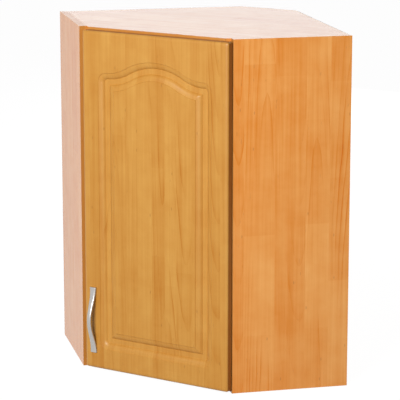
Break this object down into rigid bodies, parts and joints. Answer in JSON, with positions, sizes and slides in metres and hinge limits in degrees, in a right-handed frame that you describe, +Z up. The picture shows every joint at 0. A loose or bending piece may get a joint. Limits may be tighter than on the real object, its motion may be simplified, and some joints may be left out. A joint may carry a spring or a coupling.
{
  "type": "diagonal corner wall cabinet",
  "caption": "Five-sided corner wall cabinet with an arched raised-field door on concealed hinges, inner shelves and hidden wall hangers.",
  "frame": {"origin": "on the underside, midway between the rear ends of the two side panels", "axes": "+X to the right as seen from the front, +Y back towards the corner of the room, +Z up; the door faces -Y"},
  "size_m": [0.7072, 0.4905, 0.72],
  "materials": {
    "laminate": "glossy wood-grain laminate",
    "edge_band": "satin wood-grain edging",
    "door_foil": "satin wood-grain foil",
    "hardboard": "matt hardboard",
    "beech": "plain turned wood",
    "zinc_steel": "zinc plated",
    "nickel": "nickel plated",
    "satin_metal": "satin",
    "soft_plastic": "translucent soft plastic"
  },
  "bodies": {
    "carcass": {"left_side_panel": "laminate", "right_side_panel": "laminate", "left_panel_band": "edge_band", "right_panel_band": "edge_band", "top_panel": "laminate", "top_band": "edge_band", "bottom_panel": "laminate", "bottom_band": "edge_band", "lower_shelf": "laminate", "lower_shelf_band": "edge_band", "upper_shelf": "laminate", "upper_shelf_band": "edge_band", "corner_board": "laminate", "left_back_sheet": "hardboard", "right_back_sheet": "hardboard", "back_nails": "zinc_steel", "cam_fittings": "zinc_steel", "cam_bolts": "zinc_steel", "dowels": "beech", "shelf_pins": "nickel", "left_hanger": "zinc_steel", "right_hanger": "zinc_steel", "hanger_screws": "zinc_steel", "lower_hinge_plate": "nickel", "upper_hinge_plate": "nickel", "lower_hinge_arm": "nickel", "upper_hinge_arm": "nickel", "plate_screws": "zinc_steel", "arm_screws": "zinc_steel"},
    "door": {"door_panel": "door_foil", "lower_hinge_cup": "nickel", "upper_hinge_cup": "nickel", "hinge_pins": "nickel", "cup_screws": "zinc_steel", "handle": "satin_metal", "handle_screws": "zinc_steel", "door_bumpers": "soft_plastic"}
  },
  "joints": [
    {"name": "door_hinge", "type": "hinge", "parent": "carcass", "child": "door", "pos_m": [0.17043, -0.18112, 0.36], "axis": [0, 0, 1], "range_deg": [0, 95]}
  ]
}
